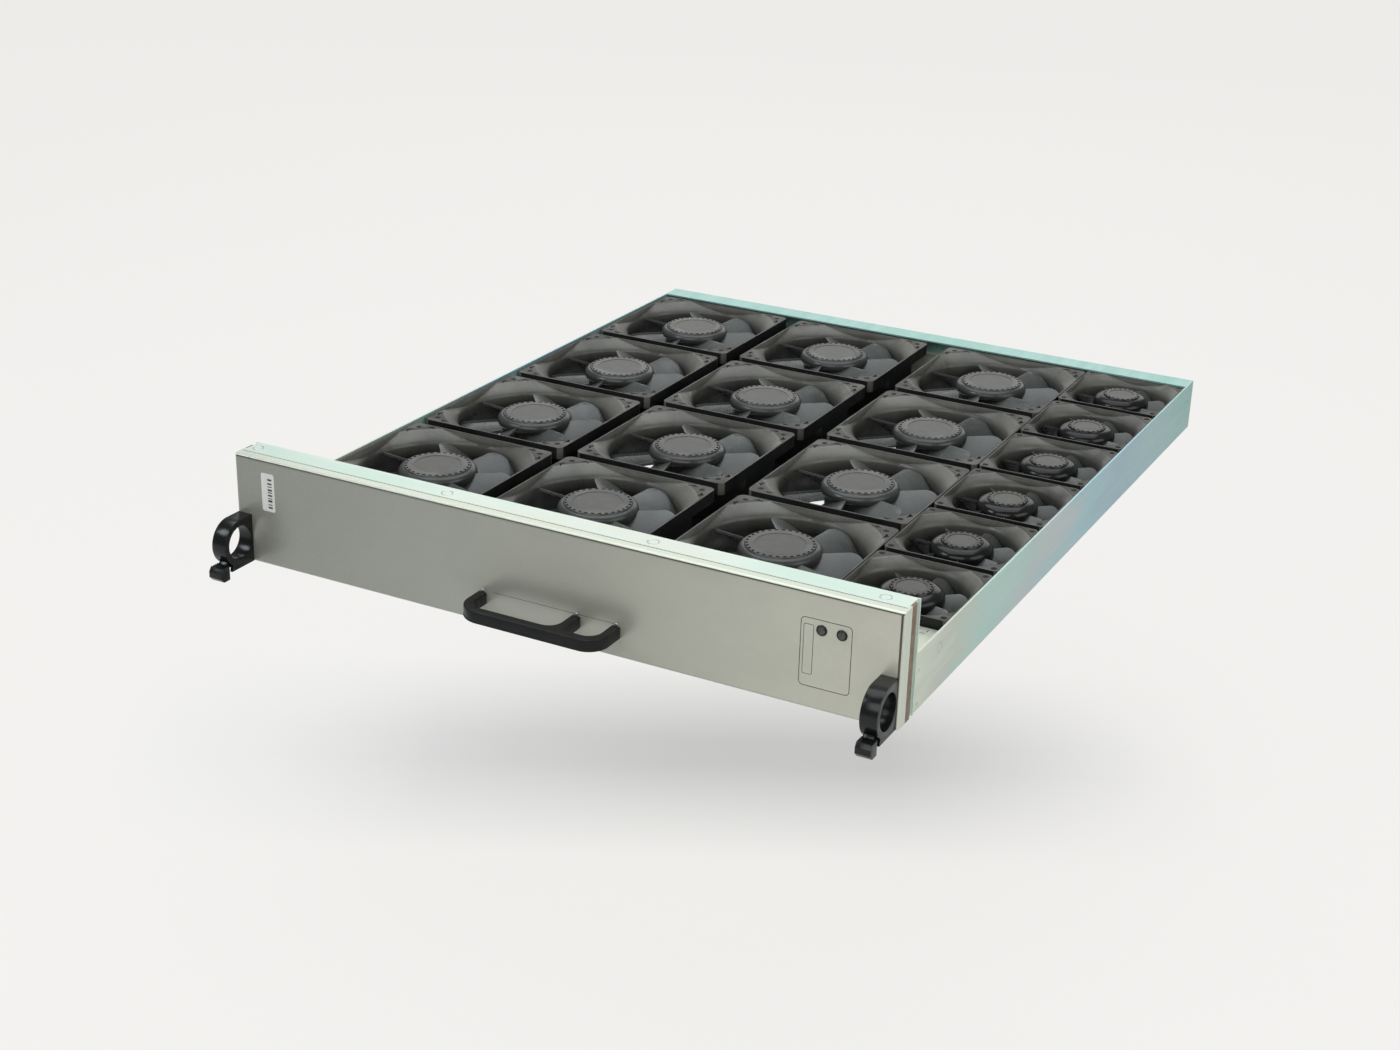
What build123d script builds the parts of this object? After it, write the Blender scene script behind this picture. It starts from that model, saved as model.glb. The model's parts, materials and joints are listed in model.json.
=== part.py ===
from build123d import *

import os
from dataclasses import dataclass
from math import sqrt

# Fan tray of a rack switch: a sheet metal drawer with twelve large fans in three columns and six small ones.
# Millimetres. X runs along the front panel to the right, Y from the front to the back, Z up.
# The origin is the middle of the underside, on the strip between the second and third row of large fans.

os.makedirs("parts", exist_ok=True)


@dataclass
class FanSize:
    side: float             # outer width of the square frame
    height: float           # frame height, floor side to intake side
    corner: float           # chamfer of the four upright edges
    flange: float           # thickness of the two mounting flanges
    throat_radius: float    # air duct
    duct_wall: float        # thinnest wall between the duct and a corner pocket
    mouth_radius: float     # top of the flared intake
    mouth_depth: float
    rim: float              # wall left where the intake meets a flat side
    hub_radius: float
    hub_drop: float         # hub top below the frame top
    shoulder_width: float   # slope round the hub's flat top
    shoulder_height: float
    blades: int
    root_chord: float       # blade width at its root, seen from above
    tip_chord: float
    camber: float
    sweep: float            # degrees that a blade leans from the radius
    blade_sink: float       # high edge at the tip below the frame top
    blade_rise: float       # low edge above the underside of the hub
    blade_thickness: float
    park_angle: float       # degrees, where the impeller has come to rest
    strut_width: float


# Fans
large = FanSize(
    side=120.0, height=38.0, corner=3.0, flange=4.5, throat_radius=57.6, duct_wall=1.8, mouth_radius=69.0,
    mouth_depth=11.0, rim=1.4, hub_radius=27.0, hub_drop=1.4, shoulder_width=5.0, shoulder_height=3.6, blades=7,
    root_chord=21.0, tip_chord=40.0, camber=3.0, sweep=35.0, blade_sink=4.0, blade_rise=1.6,
    blade_thickness=1.8, park_angle=-17.0, strut_width=6.0)
small = FanSize(
    side=80.0, height=38.0, corner=2.5, flange=4.0, throat_radius=37.6, duct_wall=1.6, mouth_radius=45.5,
    mouth_depth=9.0, rim=1.2, hub_radius=21.5, hub_drop=1.0, shoulder_width=8.6, shoulder_height=6.4, blades=7,
    root_chord=16.0, tip_chord=26.0, camber=2.5, sweep=25.0, blade_sink=6.0, blade_rise=1.6,
    blade_thickness=1.6, park_angle=0.0, strut_width=5.0)
tip_gap = 1.0
cap_height = 8.0            # hub cap, wider than the hub below it
cap_overhang = 2.0
motor_base_height = 4.5     # round motor base and the struts that carry it
hub_base_gap = 1.0          # hub above the motor base
shaft_radius = 2.0
shaft_clearance = 0.05
shaft_floor = 0.8           # skin under the shaft bore
struts = 4

# Fan layout
large_rows = 4
large_row_gap = 9.0
small_rows = 6
small_row_gap = 6.0
small_setback = 1.5         # small fans start this much behind the large ones
left_clearance = 0.9        # from the bend of the left wall to the first column
first_gap = 12.0            # between the first two columns, for wiring
second_gap = 18.7           # between the second and third column, for wiring
third_gap = 0.7             # between the third column and the small fans
right_clearance = 0.2       # from the bend of the right wall to the small fans

# Tray
sheet = 1.2
wall_height = 40.5
bend = 1.8                  # outside radius of the pan's bends
rear_bay = 19.8             # space behind the large fans
rear_flange = 18.5
air_hole_margin = 0.9       # floor cut-out beyond the fan's throat
bay_length = 50.8           # front panel to the first fan

# Front panel
panel_width = 482.6
panel_height = 76.0
panel_depth = 24.2
bezel_sheet = 1.5
bezel_bend = 2.6
bezel_lip = 7.2
bezel_end_lip = 11.6
lip_gap = 1.1
gasket = 1.6
gasket_clearance = 0.2
gasket_setback = 4.6        # gasket strips in front of the channel's back plate

# Front bay
cover_height = 33.0
cover_sheet = 1.0
cover_clearance = 0.3
tab_width = 6.0
tab_length = 8.0
slit = 0.8
board_length = 240.0
board_depth = 36.0
board_thickness = 1.6
board_lift = 5.0
board_post = 2.5            # corner radius of the six-sided posts
header_width = 14.0
header_depth = 8.0
header_height = 9.0
driver_length = 18.0
driver_depth = 12.0
driver_height = 3.0
driver_pitch = 26.0

# Pull handle
handle_left = -48.2
handle_right = 55.8
handle_middle = 24.1        # centre of the third foot
handle_foot = 6.2
handle_bar = 7.0
handle_reach = 28.6
handle_low = 13.6
handle_high = 21.7
handle_left_round = 16.0
handle_right_round = 14.0
handle_inner_round = 9.0

# Ring handles
ring_inset = 6.7            # middle of the ring handle to the end of the panel
ring_thickness = 11.0
ring_centre_out = 12.8
ring_centre_up = 18.6
ring_radius = 16.0
finger_radius = 11.75
ring_foot = 0.8
ring_toe = 23.0
lever_thickness = 6.0
lever_clearance = 0.4
lever_low = 2.1
lever_high = 5.3
lever_pin_out = 7.0
lever_pin_radius = 1.1
lever_pin_clearance = 0.06
lever_pin_length = 10.0
lever_room = 0.6            # slot height beyond the lever
lever_lift = 3.2            # extra slot height at the panel for the swinging arm
tooth_front = 12.5
tooth_length = 4.0
tooth_drop = 2.4
knob_front = 34.0
knob_back = 25.0
knob_low = -4.0
knob_high = 6.0
knob_width = 10.0
knob_ribs = 4
knob_rib = 0.5

# Spacers and lights
spacer_radius = 4.0         # corner radius of the six-sided spacers
spacer_inset = 81.3         # outer spacers to the ends of the panel
spacer_z = (40.0, 62.0)
light_radius = 2.9
light_inset = 37.9          # right light to the right end of the panel
light_pitch = 13.0
light_z = 52.8
light_holder = 8.0
light_holder_depth = 5.0
light_reach = 0.7
light_clearance = 0.1

# Wiring
trunk_radius = 3.0
trunk_clip_clearance = 0.2
clip_width = 9.0
clip_depth = 5.0
plug_width = 4.2
plug_depth = 6.0
plug_height = 26.0
plug_wall_gap = 0.4
connector_width = 58.0
connector_height = 18.0
connector_low = 6.0
connector_flange = 2.0
connector_flange_width = 74.0
connector_block = 12.0      # housing in front of the rear wall
connector_nose = 8.0        # plug behind the rear wall
connector_nose_width = 44.0
connector_nose_height = 9.0
connector_clearance = 0.4
guide_pin_inset = 33.0      # guide pin to the tray's side wall
guide_pin_z = 20.0
guide_pin_radius = 3.0
guide_pin_stud = 2.4        # radius of the end pressed into the wall
guide_pin_length = 12.0
guide_pin_tip = 4.0
guide_pin_tip_radius = 1.4

# Places worked out from the sizes above
large_pitch = large.side + large_row_gap
small_pitch = small.side + small_row_gap
large_y = [(row - (large_rows - 1) / 2) * large_pitch for row in range(large_rows)]
fans_front = large_y[0] - large.side / 2
fans_rear = large_y[-1] + large.side / 2
small_y = [fans_front + small_setback + small.side / 2 + row * small_pitch for row in range(small_rows)]

right_wall = panel_width / 2
small_x = right_wall - bend - right_clearance - small.side / 2
third_x = small_x - small.side / 2 - third_gap - large.side / 2
second_x = third_x - large.side - second_gap
first_x = second_x - large.side - first_gap
left_wall = first_x - large.side / 2 - left_clearance - bend
first_gap_x = first_x + large.side / 2 + first_gap / 2
second_gap_x = second_x + large.side / 2 + second_gap / 2
tray_width = right_wall - left_wall
tray_middle = (right_wall + left_wall) / 2

tray_front = fans_front - bay_length
tray_rear = fans_rear + rear_bay + sheet
bezel_face = tray_front - panel_depth
fan_floor = sheet
plate_back = bezel_face + bezel_sheet
channel_plate = tray_front - sheet
ring_x = panel_width / 2 - ring_inset
spacer_x = panel_width / 2 - spacer_inset
light_x = (panel_width / 2 - light_inset - light_pitch, panel_width / 2 - light_inset)
guide_pin_places = (left_wall + guide_pin_inset, right_wall - guide_pin_inset)


def save(part, name):
    part.label = name
    export_step(part, "parts/" + name + ".step")


# Fan frame: a square housing with open corner pockets, a round duct that flares into the corners and a motor base
def fan_frame(fan):
    half = fan.side / 2
    throat_top = fan.height - fan.mouth_depth
    corner_distance = half * sqrt(2)
    pocket_depth = corner_distance - fan.throat_radius - fan.duct_wall
    with BuildPart() as mouth:
        with BuildSketch(Plane.XZ):
            with BuildLine():
                Polyline(
                    (0, throat_top), (fan.throat_radius, throat_top), (fan.mouth_radius, fan.height), (0, fan.height),
                    close=True)
            make_face()
        revolve(axis=Axis.Z)
        with BuildSketch():
            Rectangle(fan.side - 2 * fan.rim, fan.side - 2 * fan.rim)
        extrude(amount=fan.height, mode=Mode.INTERSECT)
    with BuildPart() as frame:
        with BuildSketch():
            Rectangle(fan.side, fan.side)
        extrude(amount=fan.height)
        chamfer(frame.edges().filter_by(Axis.Z), fan.corner)
        with BuildSketch(Plane.XY.offset(fan.flange)):
            with PolarLocations(corner_distance, 4, start_angle=45):
                Rectangle(2 * pocket_depth, fan.side)
        extrude(amount=throat_top - fan.flange, mode=Mode.SUBTRACT)
        with BuildSketch():
            Circle(fan.throat_radius)
            Circle(fan.hub_radius, mode=Mode.SUBTRACT)
            with PolarLocations(half / 2, struts, start_angle=45):
                Rectangle(half, fan.strut_width, mode=Mode.SUBTRACT)
        extrude(amount=motor_base_height, mode=Mode.SUBTRACT)
        with BuildSketch(Plane.XY.offset(motor_base_height)):
            Circle(fan.throat_radius)
        extrude(amount=throat_top - motor_base_height, mode=Mode.SUBTRACT)
        add(mouth.part, mode=Mode.SUBTRACT)
        with BuildSketch(Plane.XY.offset(shaft_floor)):
            Circle(shaft_radius + shaft_clearance)
        extrude(amount=motor_base_height - shaft_floor, mode=Mode.SUBTRACT)
    return frame.part


# Impeller: capped hub on its shaft, and cambered blades that widen and lean towards their tips
def fan_impeller(fan):
    hub_floor = motor_base_height + hub_base_gap
    hub_top = fan.height - fan.hub_drop
    wall_radius = fan.hub_radius - cap_overhang
    high = fan.height - fan.blade_sink
    low = hub_floor + fan.blade_rise
    slope = sqrt(fan.tip_chord ** 2 + (high - low) ** 2)
    crown = (-fan.camber * (high - low) / slope, (high + low) / 2 + fan.camber * fan.tip_chord / slope)
    outward = Vector(1, 0, 0).rotate(Axis.Z, fan.sweep)
    across = Vector(0, 1, 0).rotate(Axis.Z, fan.sweep)
    root = Vector(wall_radius, 0, 0) - outward * (fan.root_chord / 2)
    with BuildPart() as blade:
        with BuildSketch(Plane(root, x_dir=across, z_dir=outward)):
            with BuildLine():
                ThreePointArc((-fan.tip_chord / 2, low), crown, (fan.tip_chord / 2, high))
            trace(line_width=fan.blade_thickness)
        extrude(amount=fan.throat_radius)
        with BuildSketch(Plane(root, x_dir=outward, z_dir=(0, 0, 1))):
            with BuildLine():
                Polyline(
                    (0, -fan.root_chord / 2), (fan.throat_radius, -fan.tip_chord / 2),
                    (fan.throat_radius, fan.tip_chord / 2), (0, fan.root_chord / 2), close=True)
            make_face()
        extrude(amount=fan.height, mode=Mode.INTERSECT)
        with BuildSketch():
            Circle(fan.throat_radius - tip_gap)
        extrude(amount=fan.height, mode=Mode.INTERSECT)
    with BuildPart() as impeller:
        with BuildSketch(Plane.XZ):
            with BuildLine():
                Polyline(
                    (0, shaft_floor + shaft_clearance), (shaft_radius, shaft_floor + shaft_clearance),
                    (shaft_radius, hub_floor), (wall_radius, hub_floor), (wall_radius, hub_top - cap_height),
                    (fan.hub_radius, hub_top - cap_height), (fan.hub_radius, hub_top - fan.shoulder_height),
                    (fan.hub_radius - fan.shoulder_width, hub_top), (0, hub_top), close=True)
            make_face()
        revolve(axis=Axis.Z)
        with PolarLocations(0, fan.blades, start_angle=fan.park_angle):
            add(blade.part)
    return impeller.part


large_frame = fan_frame(large)
large_rotor = fan_impeller(large)
small_frame = fan_frame(small)
small_rotor = fan_impeller(small)

places = []
for column, x in enumerate((first_x, second_x, third_x), 1):
    for row, y in enumerate(large_y, 1):
        places.append((f"{column}{row}", x, y, "large", large_frame, large_rotor))
for row, y in enumerate(small_y, 1):
    places.append((f"4{row}", small_x, y, "small", small_frame, small_rotor))
for tag, x, y, size, frame_form, rotor_form in places:
    spot = Location((x, y, fan_floor))
    save(spot * frame_form, size + "_fan_frame_" + tag)
    save(spot * rotor_form, size + "_impeller_" + tag)

# Tray pan: floor with an eight-sided air hole under each fan, four walls and a flange along the rear
with BuildPart() as tray_pan:
    with BuildSketch():
        with Locations((tray_middle, (tray_front + tray_rear) / 2)):
            Rectangle(tray_width, tray_rear - tray_front)
    extrude(amount=wall_height)
    fillet(tray_pan.faces().sort_by(Axis.Z)[0].edges(), bend)
    offset(amount=-sheet, openings=tray_pan.faces().sort_by(Axis.Z)[-1])
    with BuildSketch(Plane.XY.offset(wall_height - sheet)):
        with Locations((tray_middle, tray_rear - rear_flange / 2)):
            Rectangle(tray_width, rear_flange)
    extrude(amount=sheet)
    with BuildSketch():
        for x in (first_x, second_x, third_x):
            for y in large_y:
                with Locations((x, y)):
                    RegularPolygon(large.throat_radius + air_hole_margin, 8, major_radius=False, rotation=22.5)
        for y in small_y:
            with Locations((small_x, y)):
                RegularPolygon(small.throat_radius + air_hole_margin, 8, major_radius=False, rotation=22.5)
    extrude(amount=sheet, mode=Mode.SUBTRACT)
    with BuildSketch(Plane.XZ.offset(-tray_rear)):
        with Locations((second_gap_x, connector_low + connector_height / 2)):
            Rectangle(connector_width + 2 * connector_clearance, connector_height + 2 * connector_clearance)
        with Locations([(x, guide_pin_z) for x in guide_pin_places]):
            Circle(guide_pin_stud)
    extrude(amount=sheet, mode=Mode.SUBTRACT)
save(tray_pan.part, "tray_pan")

# Front channel: back plate of the panel with its four flanges turned forward
flange_length = panel_depth - bezel_lip - lip_gap
end_flange_length = panel_depth - bezel_end_lip
flange_end = panel_width / 2 - gasket
with BuildPart() as front_channel:
    with BuildSketch(Plane.XZ.offset(-tray_front)):
        with Locations((0, panel_height / 2)):
            Rectangle(panel_width, panel_height)
    extrude(amount=sheet)
    with BuildSketch(Plane.XZ.offset(-channel_plate)):
        with Locations((0, sheet / 2), (0, panel_height - sheet / 2)):
            Rectangle(2 * flange_end, sheet)
    extrude(amount=flange_length - sheet)
    with BuildSketch(Plane.XZ.offset(-channel_plate)):
        with Locations((flange_end - sheet / 2, panel_height / 2), (sheet / 2 - flange_end, panel_height / 2)):
            Rectangle(sheet, panel_height)
    extrude(amount=end_flange_length - sheet)
    with BuildSketch():
        for x in (-ring_x, ring_x):
            with Locations((x, bezel_face + tooth_front + tooth_length / 2)):
                Rectangle(lever_thickness + 2 * lever_clearance, tooth_length + 4 * lever_clearance)
    extrude(amount=sheet, mode=Mode.SUBTRACT)
save(front_channel.part, "front_channel")

# Bezel: front plate with rounded front edges, short lips above and below and longer ones at the ends
with BuildPart() as bezel:
    with BuildSketch(Plane.XZ.offset(-bezel_face - bezel_end_lip)):
        with Locations((0, panel_height / 2)):
            Rectangle(panel_width, panel_height)
    extrude(amount=bezel_end_lip)
    fillet(bezel.faces().sort_by(Axis.Y)[0].edges(), bezel_bend)
    offset(amount=-bezel_sheet, openings=bezel.faces().sort_by(Axis.Y)[-1])
    with BuildSketch():
        with Locations((0, bezel_face + bezel_lip + bezel_end_lip / 2)):
            Rectangle(panel_width - 2 * bezel_sheet, bezel_end_lip)
    extrude(amount=panel_height, mode=Mode.SUBTRACT)
    with BuildSketch(Plane.XZ.offset(-bezel_face - bezel_sheet)):
        with Locations((light_x[0], light_z), (light_x[1], light_z)):
            Circle(light_radius + light_clearance)
    extrude(amount=bezel_sheet, mode=Mode.SUBTRACT)
    with BuildSketch(Plane.XZ.offset(-bezel_face - bezel_bend)):
        for x in (-ring_x, ring_x):
            with Locations((x, (bezel_sheet + lever_high + lever_lift) / 2)):
                Rectangle(lever_thickness + 2 * lever_clearance, lever_high + lever_lift - bezel_sheet)
    extrude(amount=bezel_bend, mode=Mode.SUBTRACT)
save(bezel.part, "bezel")

# Spacers between the bezel and the channel's back plate
with BuildPart() as panel_spacers:
    with BuildSketch(Plane.XZ.offset(-channel_plate)):
        for x in (-spacer_x, 0, spacer_x):
            for z in spacer_z:
                with Locations((x, z)):
                    RegularPolygon(spacer_radius, 6)
    extrude(amount=channel_plate - plate_back)
save(panel_spacers.part, "panel_spacers")

# Gasket strips on the ends of the channel
gasket_front = bezel_face + bezel_end_lip + gasket_clearance
gasket_rear = channel_plate - gasket_setback
with BuildPart() as end_gaskets:
    with BuildSketch(Plane.XY.offset(gasket_clearance)):
        for side in (-1, 1):
            with Locations((side * (flange_end + gasket / 2), (gasket_front + gasket_rear) / 2)):
                Rectangle(gasket, gasket_rear - gasket_front)
    extrude(amount=panel_height - 2 * gasket_clearance)
save(end_gaskets.part, "end_gaskets")

# Pull handle: a strap on three feet with rounded ends
bar_back = bezel_face - handle_reach + handle_bar
with BuildPart() as pull_handle:
    with BuildSketch(Plane.XY.offset(handle_low)) as handle_outline:
        with BuildLine():
            Polyline(
                (handle_left, bezel_face), (handle_left, bezel_face - handle_reach),
                (handle_right, bezel_face - handle_reach), (handle_right, bezel_face),
                (handle_right - handle_foot, bezel_face), (handle_right - handle_foot, bar_back),
                (handle_middle + handle_foot / 2, bar_back), (handle_middle + handle_foot / 2, bezel_face),
                (handle_middle - handle_foot / 2, bezel_face), (handle_middle - handle_foot / 2, bar_back),
                (handle_left + handle_foot, bar_back), (handle_left + handle_foot, bezel_face), close=True)
        make_face()
        fillet(handle_outline.vertices().group_by(Axis.Y)[0].sort_by(Axis.X)[0], handle_left_round)
        fillet(handle_outline.vertices().group_by(Axis.Y)[0].sort_by(Axis.X)[-1], handle_right_round)
        inner_corners = handle_outline.vertices().group_by(Axis.Y)[1].sort_by(Axis.X)
        fillet([inner_corners[0], inner_corners[1], inner_corners[3]], handle_inner_round)
    extrude(amount=handle_high - handle_low)
save(pull_handle.part, "pull_handle")

# Ring handle: a finger ring on a square foot, slotted from below for the latch trigger
ring_centre = (bezel_face - ring_centre_out, ring_centre_up)
slot_top = lever_high + lever_room
neck_top = lever_high + 4.2
neck_out = knob_back - 0.5
with BuildPart() as ring_handle:
    with BuildSketch(Plane.YZ.offset(-ring_thickness / 2)):
        with Locations(ring_centre):
            Circle(ring_radius)
        with BuildLine():
            Polyline(
                (bezel_face, ring_foot), (bezel_face, ring_centre_up + ring_radius),
                (ring_centre[0], ring_centre_up + ring_radius), ring_centre, (bezel_face - ring_toe + 2.0, lever_high + 2.0),
                (bezel_face - ring_toe, ring_foot), close=True)
        make_face()
        with Locations(ring_centre):
            Circle(finger_radius, mode=Mode.SUBTRACT)
        with Locations((bezel_face + ring_radius / 2, ring_centre_up)):
            Rectangle(ring_radius, 3 * ring_radius, mode=Mode.SUBTRACT)
    extrude(amount=ring_thickness)
    with BuildSketch(Plane.YZ.offset(-lever_thickness / 2 - lever_clearance)):
        with BuildLine():
            Polyline(
                (bezel_face, ring_foot), (bezel_face, lever_high + lever_lift),
                (bezel_face - lever_pin_out, slot_top), (bezel_face - ring_centre_out, slot_top),
                (bezel_face - ring_toe + 2.0, neck_top - 1.2), (bezel_face - knob_front, neck_top + 1.6),
                (bezel_face - knob_front, ring_foot), close=True)
        make_face()
    extrude(amount=lever_thickness + 2 * lever_clearance, mode=Mode.SUBTRACT)
    with BuildSketch(Plane.YZ.offset(-lever_pin_length / 2)):
        with Locations((bezel_face - lever_pin_out, (lever_low + lever_high) / 2)):
            Circle(lever_pin_radius)
    extrude(amount=lever_pin_length, mode=Mode.SUBTRACT)
save(Location((-ring_x, 0, 0)) * ring_handle.part, "ring_handle_left")
save(Location((ring_x, 0, 0)) * ring_handle.part, "ring_handle_right")

# Latch trigger: a lever on a cross pin, with a ribbed knob in front and a tooth behind the panel
with BuildPart() as latch_trigger:
    with BuildSketch(Plane.YZ.offset(-lever_thickness / 2)):
        with BuildLine():
            Polyline(
                (bezel_face + tooth_front + tooth_length, lever_high), (bezel_face - ring_centre_out, lever_high),
                (bezel_face - ring_toe + 2.0, neck_top - 2.2), (bezel_face - neck_out, neck_top - 1.0),
                (bezel_face - knob_back - 3.0, knob_high - 1.0), (bezel_face - knob_back - 3.0, 0.0),
                (bezel_face - knob_back, 0.0), (bezel_face - neck_out, lever_low + 1.6),
                (bezel_face - ring_centre_out, lever_low), (bezel_face + tooth_front, lever_low),
                (bezel_face + tooth_front, -tooth_drop),
                (bezel_face + tooth_front + tooth_length, -tooth_drop / 4), close=True)
        make_face()
        with Locations((bezel_face - lever_pin_out, (lever_low + lever_high) / 2)):
            Circle(lever_pin_radius + lever_pin_clearance, mode=Mode.SUBTRACT)
    extrude(amount=lever_thickness)
    with BuildSketch(Plane.YZ.offset(-knob_width / 2)):
        with BuildLine():
            Polyline(
                (bezel_face - knob_back, knob_high), (bezel_face - knob_front + 2.0, knob_high),
                (bezel_face - knob_front, knob_high - 3.0), (bezel_face - knob_front, knob_low + 3.0),
                (bezel_face - knob_front + 3.0, knob_low), (bezel_face - knob_back, knob_low), close=True)
        make_face()
    extrude(amount=knob_width)
    rib_pitch = (knob_front - knob_back) / (knob_ribs + 0.5)
    with BuildSketch(Plane.YZ.offset(-knob_width / 2)):
        for rib in range(knob_ribs):
            with Locations((bezel_face - knob_back - (rib + 0.75) * rib_pitch, knob_high)):
                Rectangle(rib_pitch / 2, 2 * knob_rib)
    extrude(amount=knob_width, mode=Mode.SUBTRACT)
save(Location((-ring_x, 0, 0)) * latch_trigger.part, "latch_trigger_left")
save(Location((ring_x, 0, 0)) * latch_trigger.part, "latch_trigger_right")

# Cross pins of the triggers
with BuildPart() as trigger_pins:
    for x in (-ring_x, ring_x):
        with BuildSketch(Plane.YZ.offset(x - lever_pin_length / 2)):
            with Locations((bezel_face - lever_pin_out, (lever_low + lever_high) / 2)):
                Circle(lever_pin_radius)
        extrude(amount=lever_pin_length)
save(trigger_pins.part, "trigger_pins")

# Status lights: lenses in the bezel, each with a square holder behind it
with BuildPart() as status_lights:
    with BuildSketch(Plane.XZ.offset(-bezel_face + light_reach)):
        with Locations((light_x[0], light_z), (light_x[1], light_z)):
            Circle(light_radius)
    extrude(amount=-light_reach - bezel_sheet)
    with BuildSketch(Plane.XZ.offset(-plate_back)):
        with Locations((light_x[0], light_z), (light_x[1], light_z)):
            Rectangle(light_holder, light_holder)
    extrude(amount=-light_holder_depth)
save(status_lights.part, "status_lights")

# Cover over the front bay, turned down at both ends, with a lanced tab near each rear corner
cover_front = tray_front + bend + cover_clearance
cover_rear = fans_front - cover_clearance
cover_left = left_wall + bend + cover_clearance
cover_right = right_wall - bend - cover_clearance
with BuildPart() as bay_cover:
    with BuildSketch(Plane.XZ.offset(-cover_rear)):
        with BuildLine():
            Polyline(
                (cover_left, sheet), (cover_left, cover_height), (cover_right, cover_height), (cover_right, sheet),
                (cover_right - cover_sheet, sheet), (cover_right - cover_sheet, cover_height - cover_sheet),
                (cover_left + cover_sheet, cover_height - cover_sheet), (cover_left + cover_sheet, sheet), close=True)
        make_face()
    extrude(amount=cover_rear - cover_front)
    with BuildSketch(Plane.XY.offset(cover_height - cover_sheet)):
        for x in (cover_left + 2 * tab_length, cover_right - 2 * tab_length + tab_width / 2):
            with Locations((x, cover_rear - tab_length)):
                Rectangle(tab_width, slit)
            with Locations((x, cover_rear - tab_length / 2)):
                with GridLocations(tab_width, tab_width, 2, 1):
                    Rectangle(slit, tab_length / 2)
    extrude(amount=cover_sheet, mode=Mode.SUBTRACT)
save(bay_cover.part, "bay_cover")

# Controller board on its posts, with the two wiring headers and a row of motor drivers
board_low = sheet + board_lift
board_top = board_low + board_thickness
board_middle = (first_gap_x + second_gap_x) / 2
board_y = (tray_front + sheet + fans_front) / 2
header_y = board_y + board_depth / 2 - header_depth / 2
with BuildPart() as controller_board:
    with BuildSketch(Plane.XY.offset(board_low)):
        with Locations((board_middle, board_y)):
            Rectangle(board_length, board_depth)
    extrude(amount=board_thickness)
    with BuildSketch(Plane.XY.offset(board_top)):
        with Locations((first_gap_x, header_y), (second_gap_x, header_y)):
            Rectangle(header_width, header_depth)
    extrude(amount=header_height)
    with BuildSketch(Plane.XY.offset(board_top)):
        with Locations((board_middle, board_y)):
            with GridLocations(driver_pitch, driver_pitch, 4, 1):
                Rectangle(driver_length, driver_depth)
    extrude(amount=driver_height)
save(controller_board.part, "controller_board")

with BuildPart() as board_posts:
    with BuildSketch(Plane.XY.offset(sheet)):
        with Locations((board_middle, board_y)):
            with GridLocations(board_length - 4 * board_post, board_depth - 4 * board_post, 2, 2):
                RegularPolygon(board_post, 6)
    extrude(amount=board_lift)
save(board_posts.part, "board_posts")

# Rear connector: flanged housing behind the last row, its plug reaching through the rear wall
rear_inner = tray_rear - sheet
with BuildPart() as rear_connector:
    with BuildSketch(Plane.XZ.offset(-tray_rear)):
        with Locations((second_gap_x, connector_low + connector_height / 2)):
            Rectangle(connector_width, connector_height)
    extrude(amount=sheet + connector_block)
    with BuildSketch(Plane.XZ.offset(-rear_inner)):
        with Locations((second_gap_x, connector_low + connector_height / 2)):
            Rectangle(connector_flange_width, connector_height + 4 * connector_clearance)
    extrude(amount=connector_flange)
    with BuildSketch(Plane.XZ.offset(-tray_rear)):
        with Locations((second_gap_x, connector_low + connector_height / 2)):
            Rectangle(connector_nose_width, connector_nose_height)
    extrude(amount=-connector_nose)
    chamfer(rear_connector.faces().sort_by(Axis.Y)[-1].edges(), 1)
save(rear_connector.part, "rear_connector")

# Guide pins pressed into the rear wall
with BuildPart() as rear_guide_pins:
    for x in guide_pin_places:
        with BuildSketch(Plane((x, rear_inner, guide_pin_z), x_dir=(1, 0, 0), z_dir=(0, 0, 1))):
            with BuildLine():
                Polyline(
                    (0, 0), (guide_pin_stud, 0), (guide_pin_stud, sheet), (guide_pin_radius, sheet),
                    (guide_pin_radius, sheet + guide_pin_length),
                    (guide_pin_tip_radius, sheet + guide_pin_length + guide_pin_tip),
                    (0, sheet + guide_pin_length + guide_pin_tip), close=True)
            make_face()
        revolve(axis=Axis((x, 0, guide_pin_z), (0, 1, 0)))
save(rear_guide_pins.part, "rear_guide_pins")

# Wiring: one trunk in each wide gap between columns, from its header towards the rear
trunk_z = board_top + header_height / 2
trunk_front = header_y + header_depth / 2
main_trunk_rear = rear_inner - connector_block
side_trunk_rear = large_y[-1]
with BuildPart() as main_trunk:
    with BuildSketch(Plane.XZ.offset(-trunk_front)):
        with Locations((second_gap_x, trunk_z)):
            Circle(trunk_radius)
    extrude(amount=trunk_front - main_trunk_rear)
save(main_trunk.part, "main_trunk")

with BuildPart() as side_trunk:
    with BuildSketch(Plane.XZ.offset(-trunk_front)):
        with Locations((first_gap_x, trunk_z)):
            Circle(trunk_radius)
    extrude(amount=trunk_front - side_trunk_rear)
save(side_trunk.part, "side_trunk")

# Open trunk clips that stand on the floor where the row gaps cross the column gaps
crossings = [(y + large_pitch / 2) for y in large_y[:-1]]
with BuildPart() as trunk_clips:
    for x in (first_gap_x, second_gap_x):
        for y in crossings:
            with BuildSketch(Plane.XZ.offset(-y - clip_depth / 2)):
                with Locations((x, (sheet + trunk_z + trunk_radius) / 2)):
                    Rectangle(clip_width, trunk_z + trunk_radius - sheet)
                with Locations((x, trunk_z + trunk_clip_clearance)):
                    Rectangle(
                        2 * (trunk_radius + trunk_clip_clearance), 2 * (trunk_radius + trunk_clip_clearance),
                        mode=Mode.SUBTRACT)
            extrude(amount=clip_depth)
save(trunk_clips.part, "trunk_clips")

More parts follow.
